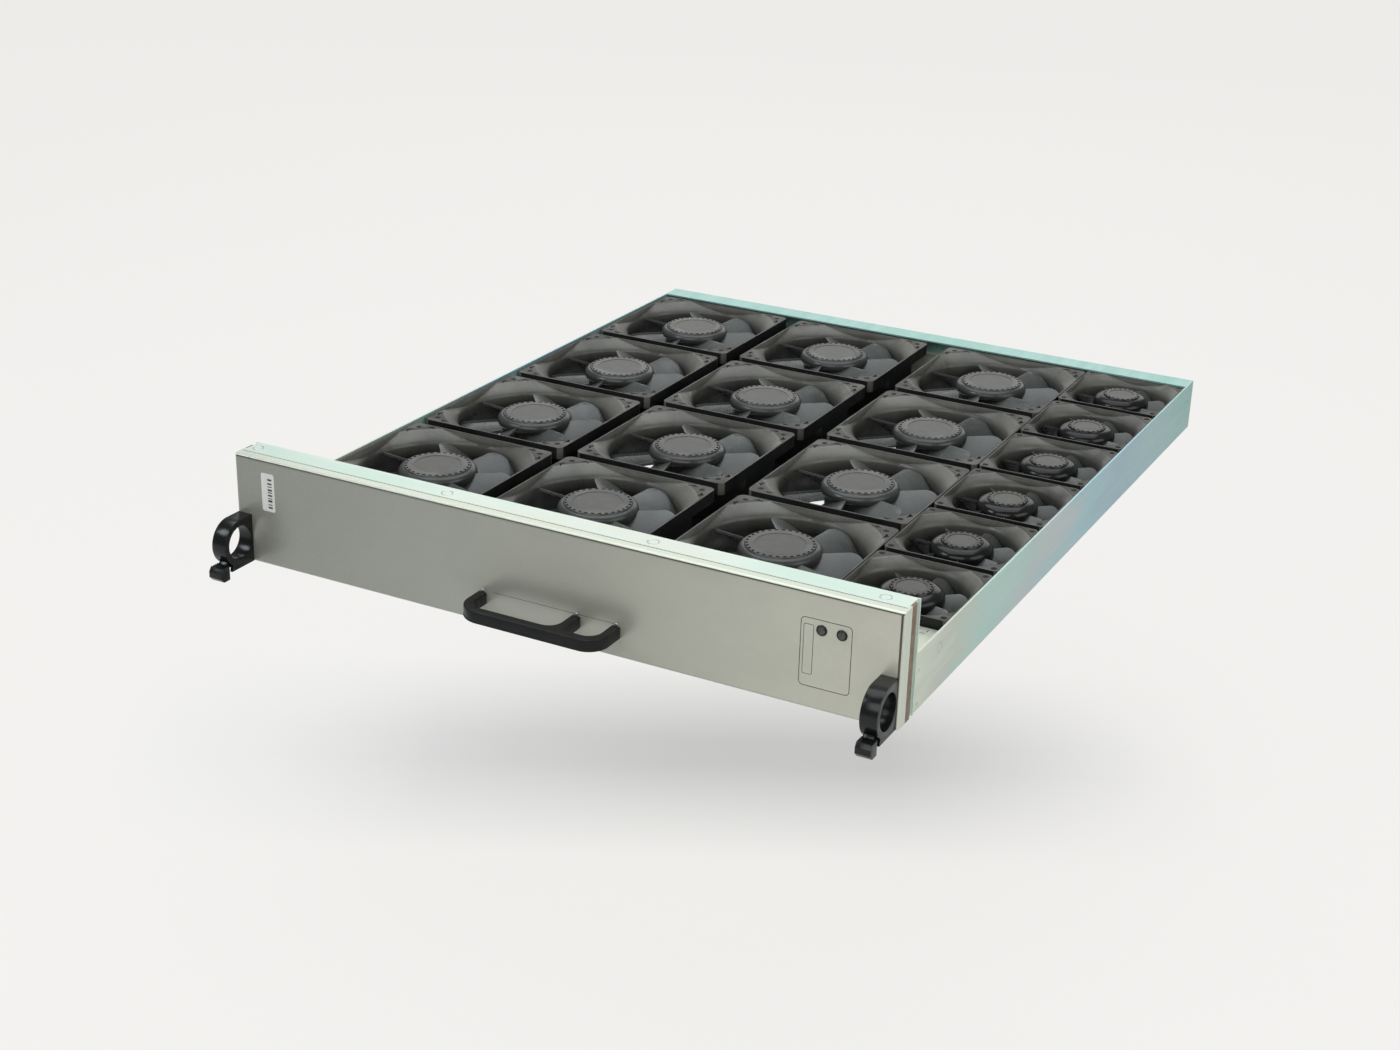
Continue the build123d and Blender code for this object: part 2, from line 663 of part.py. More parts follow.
# Fan lead plugs that stand beside the trunk clips
with BuildPart() as lead_plugs:
    with BuildSketch(Plane.XY.offset(sheet)):
        for x in (first_gap_x, second_gap_x):
            for y in crossings:
                with Locations((x + clip_width / 2 + plug_wall_gap + plug_width / 2, y)):
                    Rectangle(plug_width, plug_depth)
    extrude(amount=plug_height)
save(lead_plugs.part, "lead_plugs")
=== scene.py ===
import json
import math

import bpy
from mathutils import Matrix, Vector

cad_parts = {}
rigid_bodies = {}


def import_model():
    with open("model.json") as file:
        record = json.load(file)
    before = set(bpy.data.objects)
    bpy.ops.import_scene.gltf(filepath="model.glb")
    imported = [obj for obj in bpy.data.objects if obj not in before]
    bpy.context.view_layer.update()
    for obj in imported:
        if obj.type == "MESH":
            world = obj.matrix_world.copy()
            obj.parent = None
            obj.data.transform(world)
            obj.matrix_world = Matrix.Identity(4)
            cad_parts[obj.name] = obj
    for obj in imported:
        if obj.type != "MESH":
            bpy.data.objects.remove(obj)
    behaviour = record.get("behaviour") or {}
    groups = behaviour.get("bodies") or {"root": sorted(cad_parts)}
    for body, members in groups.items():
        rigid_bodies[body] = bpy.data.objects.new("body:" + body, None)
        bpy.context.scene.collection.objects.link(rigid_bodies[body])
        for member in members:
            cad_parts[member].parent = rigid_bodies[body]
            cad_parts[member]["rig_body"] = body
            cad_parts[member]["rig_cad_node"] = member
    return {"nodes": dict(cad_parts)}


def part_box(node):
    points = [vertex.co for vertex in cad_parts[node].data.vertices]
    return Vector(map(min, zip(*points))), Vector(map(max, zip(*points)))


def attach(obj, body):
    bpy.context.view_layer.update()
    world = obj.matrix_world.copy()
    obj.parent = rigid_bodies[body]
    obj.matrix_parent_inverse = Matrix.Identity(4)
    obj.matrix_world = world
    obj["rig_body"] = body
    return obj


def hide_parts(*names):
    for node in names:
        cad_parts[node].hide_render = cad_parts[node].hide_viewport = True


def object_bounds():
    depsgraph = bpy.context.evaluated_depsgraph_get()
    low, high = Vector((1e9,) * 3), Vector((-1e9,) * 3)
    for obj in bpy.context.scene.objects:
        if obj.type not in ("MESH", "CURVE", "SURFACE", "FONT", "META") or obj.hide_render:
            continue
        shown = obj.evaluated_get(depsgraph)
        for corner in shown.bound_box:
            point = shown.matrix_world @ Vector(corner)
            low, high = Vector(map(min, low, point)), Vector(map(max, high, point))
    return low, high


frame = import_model()
cad_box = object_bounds()
nodes = frame["nodes"]
mm = 0.001
quarter_turn = math.pi / 2
merge_distance = 0.01 * mm


# Small tools that every piece uses
def deselect():
    if bpy.context.object and bpy.context.object.mode != "OBJECT":
        bpy.ops.object.mode_set(mode="OBJECT")
    bpy.ops.object.select_all(action="DESELECT")


def pick(piece):
    deselect()
    piece.select_set(True)
    bpy.context.view_layer.objects.active = piece


def drop(*pieces):
    for piece in pieces:
        bpy.data.objects.remove(piece)


def take_name(name):
    piece = bpy.context.object
    piece.name = name
    piece.data.name = name
    return piece


def edit(piece, kind="FACE"):
    pick(piece)
    bpy.ops.object.mode_set(mode="EDIT")
    bpy.ops.mesh.select_mode(type=kind)
    bpy.ops.mesh.select_all(action="DESELECT")


def select_faces(piece, wanted):
    edit(piece, "FACE")
    bpy.ops.object.mode_set(mode="OBJECT")
    for face in piece.data.polygons:
        face.select = wanted(face.center, face.normal)
    bpy.ops.object.mode_set(mode="EDIT")


def select_edges(piece, wanted):
    edit(piece, "EDGE")
    bpy.ops.object.mode_set(mode="OBJECT")
    points = piece.data.vertices
    for edge in piece.data.edges:
        edge.select = wanted(points[edge.vertices[0]].co, points[edge.vertices[1]].co)
    bpy.ops.object.mode_set(mode="EDIT")


def select_points(piece, wanted):
    edit(piece, "VERT")
    bpy.ops.object.mode_set(mode="OBJECT")
    for point in piece.data.vertices:
        point.select = wanted(point.co)
    bpy.ops.object.mode_set(mode="EDIT")


def leave_edit():
    bpy.ops.object.mode_set(mode="OBJECT")


def fix_normals(piece):
    pick(piece)
    bpy.ops.object.mode_set(mode="EDIT")
    bpy.ops.mesh.select_all(action="SELECT")
    bpy.ops.mesh.remove_doubles(threshold=merge_distance)
    bpy.ops.mesh.normals_make_consistent(inside=False)
    leave_edit()


def block(name, low, high, turn=0.0):
    deselect()
    middle = [(a + b) / 2 for a, b in zip(low, high)]
    bpy.ops.mesh.primitive_cube_add(size=1, location=middle)
    piece = take_name(name)
    piece.scale = [b - a for a, b in zip(low, high)]
    bpy.ops.object.transform_apply(location=True, rotation=True, scale=True)
    piece.data.transform(Matrix.Rotation(turn, 4, "Z"))
    return piece


# Lathe work: rings is a list of (height, radius) from the bottom up
def turned(name, rings, steps, middle=(0.0, 0.0)):
    deselect()
    height, radius = rings[0]
    bpy.ops.mesh.primitive_circle_add(
        vertices=steps, radius=radius, fill_type="NGON", location=(*middle, height))
    piece = take_name(name)
    bpy.ops.object.transform_apply(location=True, rotation=True, scale=True)
    edit(piece)
    bpy.ops.mesh.select_all(action="SELECT")
    for (low, inner), (high, outer) in zip(rings, rings[1:]):
        bpy.ops.mesh.extrude_region_move(TRANSFORM_OT_translate={"value": (0, 0, high - low)})
        share = outer / inner
        bpy.ops.transform.resize(value=(share, share, 1), center_override=(*middle, high))
    leave_edit()
    fix_normals(piece)
    return piece


# A round bead bent to a ring, lying flat round the origin
def bead_ring(name, ring_radius, bead_radius, steps, bead_steps):
    deselect()
    bpy.ops.mesh.primitive_circle_add(
        vertices=bead_steps, radius=bead_radius, location=(ring_radius, 0, 0),
        rotation=(quarter_turn, quarter_turn, 0))
    piece = take_name(name)
    bpy.ops.object.transform_apply(location=True, rotation=True, scale=True)
    edit(piece, "VERT")
    bpy.ops.mesh.select_all(action="SELECT")
    bpy.ops.mesh.spin(steps=steps, angle=math.tau, center=(0, 0, 0), axis=(0, 0, 1))
    leave_edit()
    fix_normals(piece)
    smooth(piece)
    return piece


def carve(piece, tool, operation="DIFFERENCE"):
    pick(piece)
    change = piece.modifiers.new("carve", "BOOLEAN")
    change.operation = operation
    change.object = tool
    change.solver = "EXACT"
    bpy.ops.object.modifier_apply(modifier=change.name)
    drop(tool)


def join(first, others):
    pick(first)
    for other in others:
        other.select_set(True)
    bpy.ops.object.join()
    return first


def soften(piece, width, steps=2, angle=35.0):
    pick(piece)
    change = piece.modifiers.new("soft edges", "BEVEL")
    change.width = width
    change.segments = steps
    change.limit_method = "ANGLE"
    change.angle_limit = math.radians(angle)
    bpy.ops.object.modifier_apply(modifier=change.name)


def smooth(piece, angle=30.0):
    pick(piece)
    bpy.ops.object.shade_smooth_by_angle(angle=math.radians(angle))


def copy_piece(piece, name, place):
    made = piece.copy()
    made.data = piece.data.copy()
    made.name = name
    made.data.name = name
    made.data.transform(place)
    bpy.context.scene.collection.objects.link(made)
    return made


def copy_node(node, name):
    made = nodes[node].copy()
    made.data = nodes[node].data.copy()
    made.name = name
    made.data.name = name
    made.parent = None
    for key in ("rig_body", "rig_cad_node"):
        if key in made:
            del made[key]
    bpy.context.scene.collection.objects.link(made)
    fix_normals(made)
    return made


def finish_piece(piece, body, slot_name, material, *stood_for):
    piece.data.materials.clear()
    piece.data.materials.append(material)
    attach(piece, body)
    if stood_for:
        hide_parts(*stood_for)


# Materials
def new_material(name):
    material = bpy.data.materials.new(name)
    material.use_nodes = True
    tree = material.node_tree
    return material, tree, tree.nodes["Principled BSDF"]


def place_pattern(tree, scale=(1, 1, 1), turn=0.0):
    place = tree.nodes.new("ShaderNodeTexCoord")
    mapping = tree.nodes.new("ShaderNodeMapping")
    mapping.inputs["Rotation"].default_value = (0, 0, turn)
    mapping.inputs["Scale"].default_value = scale
    tree.links.new(place.outputs["Object"], mapping.inputs["Vector"])
    return mapping.outputs["Vector"]


def place_axes(tree, turn=0.0):
    split = tree.nodes.new("ShaderNodeSeparateXYZ")
    tree.links.new(place_pattern(tree, turn=turn), split.inputs["Vector"])
    return split.outputs


def cloud(tree, vector, scale, detail=4.0, rough=0.5):
    noise = tree.nodes.new("ShaderNodeTexNoise")
    noise.inputs["Scale"].default_value = scale
    noise.inputs["Detail"].default_value = detail
    noise.inputs["Roughness"].default_value = rough
    tree.links.new(vector, noise.inputs["Vector"])
    return noise.outputs["Fac"]


def blend_colours(tree, share, stops):
    ramp = tree.nodes.new("ShaderNodeValToRGB")
    while len(ramp.color_ramp.elements) < len(stops):
        ramp.color_ramp.elements.new(0.5)
    for element, (place, colour) in zip(ramp.color_ramp.elements, stops):
        element.position = place
        element.color = (*colour, 1)
    tree.links.new(share, ramp.inputs["Fac"])
    return ramp.outputs["Color"]


def map_range(tree, share, low, high, start=0.0, end=1.0):
    change = tree.nodes.new("ShaderNodeMapRange")
    change.inputs["From Min"].default_value = start
    change.inputs["From Max"].default_value = end
    change.inputs["To Min"].default_value = low
    change.inputs["To Max"].default_value = high
    tree.links.new(share, change.inputs["Value"])
    return change.outputs["Result"]


def mix_colours(tree, share, first, second):
    mixer = tree.nodes.new("ShaderNodeMix")
    mixer.data_type = "RGBA"
    tree.links.new(share, mixer.inputs["Factor"])
    for value, socket in ((first, mixer.inputs[6]), (second, mixer.inputs[7])):
        if isinstance(value, tuple):
            socket.default_value = (*value, 1)
        else:
            tree.links.new(value, socket)
    return mixer.outputs[2]


def product(tree, first, second):
    both = tree.nodes.new("ShaderNodeMath")
    both.operation = "MULTIPLY"
    tree.links.new(first, both.inputs[0])
    tree.links.new(second, both.inputs[1])
    return both.outputs[0]


def band(tree, value, low, high, fade):
    rise = map_range(tree, value, 0.0, 1.0, low - fade, low)
    return product(tree, rise, map_range(tree, value, 1.0, 0.0, high, high + fade))


def bump(tree, shader, height, strength, distance=0.2 * mm):
    relief = tree.nodes.new("ShaderNodeBump")
    relief.inputs["Strength"].default_value = strength
    relief.inputs["Distance"].default_value = distance
    tree.links.new(height, relief.inputs["Height"])
    tree.links.new(relief.outputs["Normal"], shader.inputs["Normal"])


def fine_grain(tree, shader, scale, strength):
    bump(tree, shader, cloud(tree, place_pattern(tree), scale, 2.0), strength)


# Moulded black plastic, paler on what lies high: pale dust together with painted light on the upper
# faces, darker towards the bottom of the fan
dust_and_light_start = 23 * mm
dust_and_light_full = 37 * mm


def black_plastic(name, dark, light, roughness, wear, dust_and_light=None, dust_and_light_from=dust_and_light_start, shine=0.5):
    material, tree, shader = new_material(name)
    shader.inputs["Specular IOR Level"].default_value = shine
    grain = cloud(tree, place_pattern(tree), 60.0)
    haze = cloud(tree, place_pattern(tree, (1, 1, 0.4)), 22.0, 5.0, 0.65)
    colour = blend_colours(tree, haze, [(0.36, dark), (0.66, light)])
    # Painted light with dust: the colour turns paler towards the top of the fan
    if dust_and_light:
        height = map_range(tree, place_axes(tree)["Z"], 0.0, 1.0, dust_and_light_from, dust_and_light_full)
        uneven = map_range(tree, haze, 0.55, 1.0, 0.34, 0.62)
        colour = mix_colours(tree, product(tree, height, uneven), colour, dust_and_light)
    tree.links.new(colour, shader.inputs["Base Color"])
    worn = map_range(tree, grain, roughness, roughness + wear, 0.35, 0.65)
    tree.links.new(worn, shader.inputs["Roughness"])
    fine_grain(tree, shader, 2500.0, 0.12)
    return material


# Zinc-plated sheet: the plating's tint drifts from cream at the front over blue to green at the rear
zinc_tints = [
    (0.0, (0.80, 0.84, 0.70)), (0.13, (0.66, 0.70, 0.60)), (0.25, (0.52, 0.76, 0.68)),
    (0.38, (0.60, 0.66, 0.66)), (0.50, (0.44, 0.68, 0.72)), (0.64, (0.42, 0.60, 0.68)),
    (0.80, (0.44, 0.66, 0.64)), (1.0, (0.36, 0.62, 0.56))]
tint_front = -0.16
tint_rear = 0.44
tint_drift = 0.30


def zinc_sheet():
    material, tree, shader = new_material("zinc_plated_sheet")
    shader.inputs["Metallic"].default_value = 0.45
    drift = cloud(tree, place_pattern(tree, (2.2, 1.6, 9.0)), 5.0, 3.0, 0.6)
    shift = tree.nodes.new("ShaderNodeMath")
    shift.operation = "MULTIPLY_ADD"
    tree.links.new(drift, shift.inputs[0])
    shift.inputs[1].default_value = tint_drift
    tree.links.new(place_axes(tree)["Y"], shift.inputs[2])
    along = map_range(tree, shift.outputs[0], 0.0, 1.0, tint_front, tint_rear)
    tree.links.new(blend_colours(tree, along, zinc_tints), shader.inputs["Base Color"])
    brushing = cloud(tree, place_pattern(tree, (12, 1.2, 60)), 14.0, 5.0)
    tree.links.new(map_range(tree, brushing, 0.28, 0.44, 0.3, 0.7), shader.inputs["Roughness"])
    fine_grain(tree, shader, 700.0, 0.05)
    return material


def pale_sheet():
    material, tree, shader = new_material("pale_panel_sheet")
    shader.inputs["Metallic"].default_value = 0.35
    drift = cloud(tree, place_pattern(tree, (2.0, 6.0, 6.0)), 5.0, 3.0)
    tints = [(0.35, (0.68, 0.84, 0.74)), (0.55, (0.78, 0.87, 0.78)), (0.7, (0.80, 0.83, 0.74))]
    tree.links.new(blend_colours(tree, drift, tints), shader.inputs["Base Color"])
    shader.inputs["Roughness"].default_value = 0.36
    fine_grain(tree, shader, 900.0, 0.05)
    return material


# Bezel: grey paint with painted light that makes it lighter to the right, a dark line along top and end
# with painted shade of the bends, and bare pale lips
bezel_low, bezel_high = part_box("bezel")
bezel_face = bezel_low.y
bezel_end = bezel_high.x
bezel_top = bezel_high.z
paint_depth = 1.1 * mm
paint_fade = 0.4 * mm
paint_half_width = 0.24
lit_paint_tints = [
    (0.0, (0.31, 0.318, 0.275)), (0.35, (0.39, 0.40, 0.35)), (0.6, (0.44, 0.445, 0.38)),
    (1.0, (0.70, 0.69, 0.58))]
smudge_colour = (0.27, 0.26, 0.22)
speck_colour = (0.52, 0.51, 0.44)
# Dark lines at the bends: painted shade at the right end, and the paint's edge with painted shade under
# the top lip
top_edge_shade_colour = (0.06, 0.055, 0.045)
end_bend_shade_colour = (0.09, 0.08, 0.06)
bare_lip_colour = (0.74, 0.78, 0.66)
beyond = 1.0


def bezel_finish():
    material, tree, shader = new_material("bezel_paint")
    shader.inputs["Metallic"].default_value = 0.35
    axes = place_axes(tree)
    # Painted light: the paint grows lighter from the left end to the right end
    across = map_range(tree, axes["X"], 0.0, 1.0, -paint_half_width, paint_half_width)
    paint = blend_colours(tree, across, lit_paint_tints)
    smudge = cloud(tree, place_pattern(tree, (1.0, 1.0, 1.6)), 14.0, 4.0, 0.6)
    paint = mix_colours(tree, map_range(tree, smudge, 0.0, 0.22, 0.4, 0.75), paint, smudge_colour)
    speck = cloud(tree, place_pattern(tree), 1600.0, 2.0, 0.6)
    paint = mix_colours(tree, map_range(tree, speck, 0.0, 0.30, 0.35, 0.75), paint, speck_colour)
    # Under the top lip: the paint's dark edge with painted shade of the bend
    top_edge_shade = band(tree, axes["Z"], bezel_top - 1.5 * mm, bezel_top - 1.0 * mm, 0.25 * mm)
    paint = mix_colours(tree, top_edge_shade, paint, top_edge_shade_colour)
    # Painted shade of the bend at the right end
    end_bend_shade = band(tree, axes["X"], bezel_end - 1.9 * mm, bezel_end - 1.0 * mm, 0.3 * mm)
    paint = mix_colours(tree, end_bend_shade, paint, end_bend_shade_colour)
    for low, high in ((bezel_top - 0.7 * mm, beyond), (-beyond, 0.8 * mm)):
        paint = mix_colours(tree, band(tree, axes["Z"], low, high, 0.2 * mm), paint, bare_lip_colour)
    paint_back = bezel_face + paint_depth
    bare = map_range(tree, axes["Y"], 0.0, 1.0, paint_back, paint_back + paint_fade)
    tree.links.new(mix_colours(tree, bare, paint, bare_lip_colour), shader.inputs["Base Color"])
    shader.inputs["Roughness"].default_value = 0.30
    bump(tree, shader, speck, 0.08)
    return material


def plain_finish(name, dark, light, roughness, metallic=0.0, scale=90.0):
    material, tree, shader = new_material(name)
    shader.inputs["Metallic"].default_value = metallic
    shader.inputs["Roughness"].default_value = roughness
    grain = cloud(tree, place_pattern(tree), scale)
    tree.links.new(blend_colours(tree, grain, [(0.3, dark), (0.7, light)]), shader.inputs["Base Color"])
    fine_grain(tree, shader, 1200.0, 0.06)
    return material


def braided_sleeve():
    material, tree, shader = new_material("braided_sleeve")
    shader.inputs["Roughness"].default_value = 0.6
    weave = tree.nodes.new("ShaderNodeTexWave")
    weave.wave_type = "BANDS"
    weave.bands_direction = "DIAGONAL"
    weave.inputs["Scale"].default_value = 320.0
    tree.links.new(place_pattern(tree), weave.inputs["Vector"])
    strands = [(0.2, (0.02, 0.02, 0.02)), (0.8, (0.09, 0.09, 0.085))]
    tree.links.new(blend_colours(tree, weave.outputs["Fac"], strands), shader.inputs["Base Color"])
    bump(tree, shader, weave.outputs["Fac"], 0.4, 0.4 * mm)
    return material


zinc = zinc_sheet()
pale = pale_sheet()
bezel_paint = bezel_finish()
# Housing, flange, outer sides and rotor are copies of one black plastic that differ in painted light and
# painted shade
housing_plastic = black_plastic(
    "fan_housing_plastic", (0.006, 0.006, 0.005), (0.016, 0.016, 0.013), 0.26, 0.20,
    dust_and_light=(0.145, 0.143, 0.124))
# The flat top flange: the same plastic with less painted light, so it reads darker than the flare
flange_plastic = black_plastic(
    "fan_flange_plastic", (0.005, 0.005, 0.004), (0.014, 0.014, 0.012), 0.30, 0.20,
    dust_and_light=(0.052, 0.052, 0.044), shine=0.35)
# Painted shade: the outer sides of the housings, which face the deep gaps between fans, are made near
# black
shaded_side_plastic = black_plastic(
    "fan_side_painted_shade", (0.0015, 0.0015, 0.0012), (0.004, 0.004, 0.0035), 0.5, 0.2)
rotor_plastic = black_plastic(
    "fan_rotor_plastic", (0.007, 0.0075, 0.007), (0.018, 0.019, 0.018), 0.22, 0.16,
    dust_and_light=(0.050, 0.053, 0.050))
# Blades: paler from 14 mm up, painted light on their upper faces together with dust
blade_plastic = black_plastic(
    "fan_blade_plastic", (0.010, 0.011, 0.010), (0.026, 0.028, 0.026), 0.20, 0.16,
    dust_and_light=(0.098, 0.105, 0.100), dust_and_light_from=14 * mm)
small_rotor_plastic = black_plastic(
    "small_rotor_plastic", (0.004, 0.004, 0.004), (0.013, 0.013, 0.012), 0.12, 0.14, shine=0.3)
handle_black = black_plastic(
    "handle_black", (0.004, 0.005, 0.005), (0.009, 0.010, 0.010), 0.16, 0.12, shine=0.4)
strap_black = black_plastic(
    "strap_black", (0.004, 0.004, 0.004), (0.010, 0.010, 0.0095), 0.28, 0.16, shine=0.28)
hub_label = plain_finish("hub_label", (0.036, 0.036, 0.035), (0.060, 0.059, 0.054), 0.34, 0.0, 130.0)
gasket_cloth = plain_finish("gasket_cloth", (0.22, 0.155, 0.105), (0.34, 0.26, 0.18), 0.75, 0.1, 260.0)
steel = plain_finish("plated_steel", (0.55, 0.56, 0.55), (0.66, 0.67, 0.65), 0.3, 0.9)
board_green = plain_finish("board_green", (0.012, 0.07, 0.03), (0.02, 0.10, 0.045), 0.45)
cream_plastic = plain_finish("cream_plastic", (0.55, 0.52, 0.42), (0.64, 0.60, 0.50), 0.5)
lens_glass = plain_finish("lens_glass", (0.035, 0.037, 0.026), (0.10, 0.10, 0.075), 0.16, 0.0, 420.0)
# Dark grey for the prints, also used as the painted shade of the bezel groove
print_and_shade_grey = plain_finish("print_and_shade_grey", (0.05, 0.05, 0.045), (0.07, 0.07, 0.06), 0.5)
label_white = plain_finish("label_white", (0.74, 0.74, 0.71), (0.80, 0.80, 0.77), 0.5)
sleeve = braided_sleeve()


# Fans: both kinds share their shapes and differ in these sizes
class Fan:
    def __init__(self, **sizes):
        self.__dict__.update(sizes)


large = Fan(
    name="large", side=120.0 * mm, height=38.0 * mm, corner=5.0 * mm, flange=4.5 * mm, rim=1.4 * mm,
    throat=57.6 * mm, duct_wall=1.8 * mm, mouth=69.0 * mm, mouth_depth=9.0 * mm, hole_pitch=105.0 * mm,
    strut=6.0 * mm, wall=25.0 * mm, hub=28.2 * mm, hub_top=36.6 * mm, cap=8.0 * mm, disc=23.8 * mm,
    shoulder=(4.2 * mm, 4.6 * mm), slots=30, slot_ring=(23.1 * mm, 21.5 * mm), label=16.8 * mm,
    root_chord=21.0 * mm, tip_chord=40.0 * mm, camber=3.0 * mm, thickness=1.8 * mm, tip_round=10.0 * mm,
    blade_low=7.1 * mm, blade_high=34.0 * mm, sweep=35.0, park=-17.0, pockets=True)
small = Fan(
    name="small", side=80.0 * mm, height=38.0 * mm, corner=4.0 * mm, flange=4.0 * mm, rim=1.2 * mm,
    throat=37.6 * mm, duct_wall=1.6 * mm, mouth=45.5 * mm, mouth_depth=8.0 * mm, hole_pitch=71.5 * mm,
    strut=5.0 * mm, wall=19.5 * mm, hub=21.5 * mm, hub_top=37.0 * mm, cap=11.0 * mm, disc=14.0 * mm,
    shoulder=(7.3 * mm, 6.2 * mm), slots=20, slot_ring=(13.3 * mm, 12.0 * mm), label=9.5 * mm,
    root_chord=16.0 * mm, tip_chord=26.0 * mm, camber=2.5 * mm, thickness=1.6 * mm, tip_round=6.5 * mm,
    blade_low=7.1 * mm, blade_high=32.0 * mm, sweep=25.0, park=0.0, pockets=False)
base_height = 4.5 * mm
hub_floor = 5.5 * mm
tip_gap = 1.0 * mm
shaft_radius = 2.0 * mm
shaft_foot = 0.85 * mm
bore_radius = 2.05 * mm
screw_hole_radius = 2.15 * mm
base_chamfer = (1.0 * mm, 1.5 * mm)
housing_edge = 0.3 * mm
blade_edge = 0.45 * mm
blades = 7
round_steps = 96
bore_steps = 24
hole_steps = 20
tip_round_steps = 64
corner_turns = (45, 135, 225, 315)
side_turns = (0, 90, 180, 270)
past = 1 * mm

# Mouth of the duct: shares of its depth at which the curve has a ring, and how far round the curve goes
flare_shares = (0.0, 0.15, 0.3, 0.45, 0.6, 0.75, 0.88, 1.0)
flare_turn = math.pi / 2.4

# Three-sided pocket in the flange of a large fan, first the one right of the rear side's middle
pocket_place = (44.2 * mm, 56.0 * mm)
pocket_radius = 3.0 * mm
pocket_depth = 3.0 * mm
pocket_stretch = (1.6, 0.75, 1)
swap_x_and_y = Matrix(((0, 1, 0, 0), (1, 0, 0, 0), (0, 0, 1, 0), (0, 0, 0, 1)))


def flange_pocket(fan, turn, mirrored):
    deselect()
    bpy.ops.mesh.primitive_cylinder_add(
        vertices=3, radius=pocket_radius, depth=2 * pocket_depth, location=(*pocket_place, fan.height))
    pocket = take_name("flange_pocket")
    pocket.scale = pocket_stretch
    bpy.ops.object.transform_apply(location=True, rotation=True, scale=True)
    if mirrored:
        pocket.data.transform(swap_x_and_y)
        pocket.data.flip_normals()
    pocket.data.transform(Matrix.Rotation(math.radians(turn), 4, "Z"))
    return pocket


# Housing: square block with a flared duct, corner pockets, screw holes, and the motor base on its struts
shaded_side_finish = 1
flange_finish = 2


def fan_housing(fan):
    half = fan.side / 2
    throat_top = fan.height - fan.mouth_depth
    housing = block(fan.name + "_housing", (-half, -half, 0), (half, half, fan.height))
    select_edges(housing, lambda a, b: abs(a.z - b.z) > past)
    bpy.ops.mesh.bevel(offset=fan.corner, segments=6, affect="EDGES")
    leave_edit()
    reach = half * math.sqrt(2)
    depth = reach - fan.throat - fan.duct_wall
    corners = []
    for turn in corner_turns:
        low, high = (reach - depth, -half, fan.flange), (reach + depth, half, throat_top)
        corners.append(block("corner", low, high, math.radians(turn)))
    carve(housing, join(corners[0], corners[1:]))
    flare = [(-past, fan.throat)]
    for share in flare_shares:
        spread = (1 - math.cos(share * flare_turn)) / (1 - math.cos(flare_turn))
        radius = fan.throat + (fan.mouth - fan.throat) * spread
        flare.append((throat_top + share * fan.mouth_depth, radius))
    flare.append((fan.height + past, fan.mouth + 2 * past))
    duct = turned("duct", flare, round_steps)
    inner = half - fan.rim
    inside = block("inside", (-inner, -inner, -2 * past), (inner, inner, fan.height + 2 * past))
    carve(duct, inside, "INTERSECT")
    carve(housing, duct)
    for turn in corner_turns:
        low = (fan.hub / 2, -fan.strut / 2, 0)
        high = (fan.throat + fan.duct_wall / 2, fan.strut / 2, base_height)
        carve(housing, block("strut", low, high, math.radians(turn)), "UNION")
    rise, inset = base_chamfer
    base_rings = [(0, fan.hub - inset), (rise, fan.hub), (base_height, fan.hub)]
    carve(housing, turned("base", base_rings, round_steps), "UNION")
    bore_rings = [(-past, bore_radius), (base_height + past, bore_radius)]
    carve(housing, turned("bore", bore_rings, bore_steps))
    hole = fan.hole_pitch / 2
    through = [(-past, screw_hole_radius), (fan.height + past, screw_hole_radius)]
    for x in (-hole, hole):
        for y in (-hole, hole):
            carve(housing, turned("hole", through, hole_steps, (x, y)))
    if fan.pockets:
        for turn in side_turns:
            for mirrored in (False, True):
                carve(housing, flange_pocket(fan, turn, mirrored))
    fix_normals(housing)
    soften(housing, housing_edge, 1, 50)
    smooth(housing, 35)
    for material in (housing_plastic, shaded_side_plastic, flange_plastic):
        housing.data.materials.append(material)
    for face in housing.data.polygons:
        place = face.center
        if place.z > fan.height - 0.35 * mm and face.normal.z > 0.6:
            face.material_index = flange_finish
        # Painted shade on the outer side walls below the top
        if max(abs(place.x), abs(place.y)) > half - 0.1 * mm and place.z < fan.height - 0.5 * mm:
            face.material_index = shaded_side_finish
    return housing


# Blade: a cambered plate that leans from the radius, widens outwards and is trimmed to the duct
blade_rows = 20
blade_columns = 8
cut_low = -5 * mm
cut_high = 45 * mm


